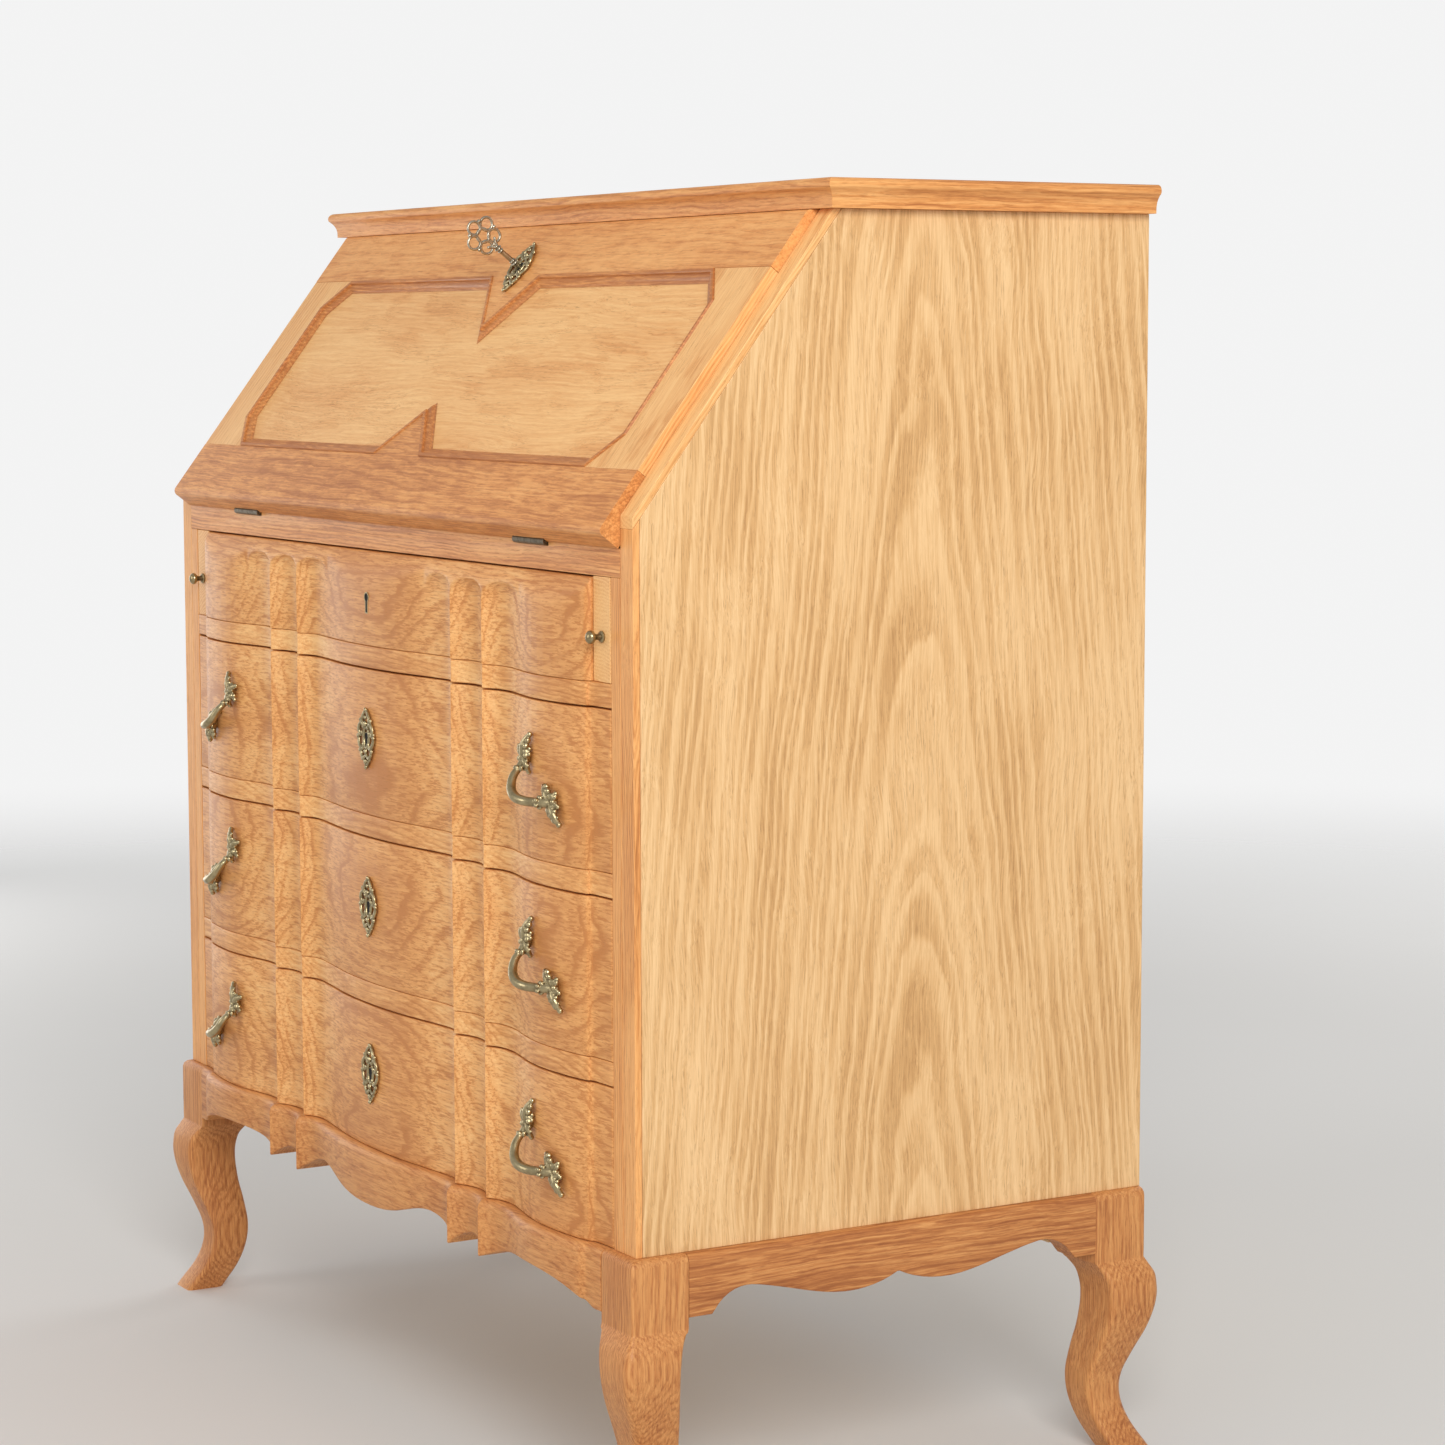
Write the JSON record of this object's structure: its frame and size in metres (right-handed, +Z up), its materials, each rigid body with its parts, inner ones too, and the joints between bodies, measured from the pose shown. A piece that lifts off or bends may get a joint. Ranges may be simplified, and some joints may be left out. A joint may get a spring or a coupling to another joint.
{
  "type": "secretary desk",
  "caption": "Slant-front oak secretary desk: sloping writing lid over a serpentine drawer front with cast pulls, on a cabriole-legged base.",
  "frame": {"origin": "on the floor, under the centre of the desk's whole box", "axes": "+Z up, the drawers and lid face -Y, +X to the right seen from the front"},
  "size_m": [0.9374, 0.5246, 1.048],
  "materials": {
    "honey_oak": "satin varnish",
    "light_oak": "satin varnish",
    "inner_wood": "planed, unvarnished",
    "antique_brass": "cast, aged, dark in the hollows",
    "lock_brass": "dull sheet brass",
    "dark_steel": "aged, slightly brown"
  },
  "bodies": {
    "case": {"front_left_leg": "honey_oak", "front_right_leg": "honey_oak", "rear_left_leg": "honey_oak", "rear_right_leg": "honey_oak", "front_apron": "honey_oak", "side_aprons": "honey_oak", "rear_base_rail": "inner_wood", "base_corner_blocks": "inner_wood", "left_side_panel": "light_oak", "right_side_panel": "light_oak", "panel_edge_lippings": "light_oak", "top_board": "honey_oak", "bottom_board": "inner_wood", "back_panel": "inner_wood", "front_stiles": "light_oak", "writing_rail": "honey_oak", "writing_bed": "honey_oak", "drawer_blades": "honey_oak", "drawer_runners": "inner_wood", "loper_partitions": "inner_wood", "gallery_boards": "honey_oak", "lid_stop_rail": "honey_oak", "lid_strike_plate": "antique_brass", "hinge_case_leaves": "antique_brass"},
    "lid": {"lid_rails": "honey_oak", "lid_stiles": "light_oak", "lid_panel": "light_oak", "lid_moulding": "honey_oak", "lid_hinge_leaves": "antique_brass", "lid_lock": "lock_brass", "lid_escutcheon": "antique_brass"},
    "key": {"lid_key": "dark_steel"},
    "lock_bolt": {"lid_bolt": "dark_steel"},
    "left_loper": {"left_loper": "honey_oak", "left_loper_knob": "antique_brass"},
    "right_loper": {"right_loper": "honey_oak", "right_loper_knob": "antique_brass"},
    "top_drawer": {"top_drawer_front": "honey_oak", "top_drawer_box": "inner_wood", "top_drawer_lock": "lock_brass"},
    "upper_drawer": {"upper_drawer_front": "honey_oak", "upper_drawer_box": "inner_wood", "upper_drawer_lock": "lock_brass", "upper_drawer_escutcheon": "antique_brass", "upper_drawer_pulls": "antique_brass"},
    "middle_drawer": {"middle_drawer_front": "honey_oak", "middle_drawer_box": "inner_wood", "middle_drawer_lock": "lock_brass", "middle_drawer_escutcheon": "antique_brass", "middle_drawer_pulls": "antique_brass"},
    "lower_drawer": {"lower_drawer_front": "honey_oak", "lower_drawer_box": "inner_wood", "lower_drawer_lock": "lock_brass", "lower_drawer_escutcheon": "antique_brass", "lower_drawer_pulls": "antique_brass"},
    "left_small_drawer": {"left_small_drawer": "honey_oak", "left_small_drawer_knob": "antique_brass"},
    "right_small_drawer": {"right_small_drawer": "honey_oak", "right_small_drawer_knob": "antique_brass"}
  },
  "joints": [
    {"name": "lid_hinge", "type": "hinge", "parent": "case", "child": "lid", "pos_m": [0, -0.22566, 0.7681], "axis": [1, 0, 0], "range_deg": [0, 127.3]},
    {"name": "key_turn", "type": "hinge", "parent": "lid", "child": "key", "pos_m": [0, -0.08682, 0.98666], "axis": [0, -0.7955, 0.606], "range_deg": [0, 180]},
    {"name": "lock_bolt_slide", "type": "slide", "parent": "lid", "child": "lock_bolt", "axis": [0, 0.606, 0.7955], "range_m": [0, 0.008]},
    {"name": "left_loper_slide", "type": "slide", "parent": "case", "child": "left_loper", "axis": [0, -1, 0], "range_m": [0, 0.27]},
    {"name": "right_loper_slide", "type": "slide", "parent": "case", "child": "right_loper", "axis": [0, -1, 0], "range_m": [0, 0.27]},
    {"name": "top_drawer_slide", "type": "slide", "parent": "case", "child": "top_drawer", "axis": [0, -1, 0], "range_m": [0, 0.21]},
    {"name": "upper_drawer_slide", "type": "slide", "parent": "case", "child": "upper_drawer", "axis": [0, -1, 0], "range_m": [0, 0.3]},
    {"name": "middle_drawer_slide", "type": "slide", "parent": "case", "child": "middle_drawer", "axis": [0, -1, 0], "range_m": [0, 0.3]},
    {"name": "lower_drawer_slide", "type": "slide", "parent": "case", "child": "lower_drawer", "axis": [0, -1, 0], "range_m": [0, 0.3]},
    {"name": "left_small_drawer_slide", "type": "slide", "parent": "case", "child": "left_small_drawer", "axis": [0, -1, 0], "range_m": [0, 0.11]},
    {"name": "right_small_drawer_slide", "type": "slide", "parent": "case", "child": "right_small_drawer", "axis": [0, -1, 0], "range_m": [0, 0.11]}
  ],
  "couplings": [
    {"joint": "lock_bolt_slide", "follows": "key_turn", "m_per_rad": 0.0025464}
  ]
}
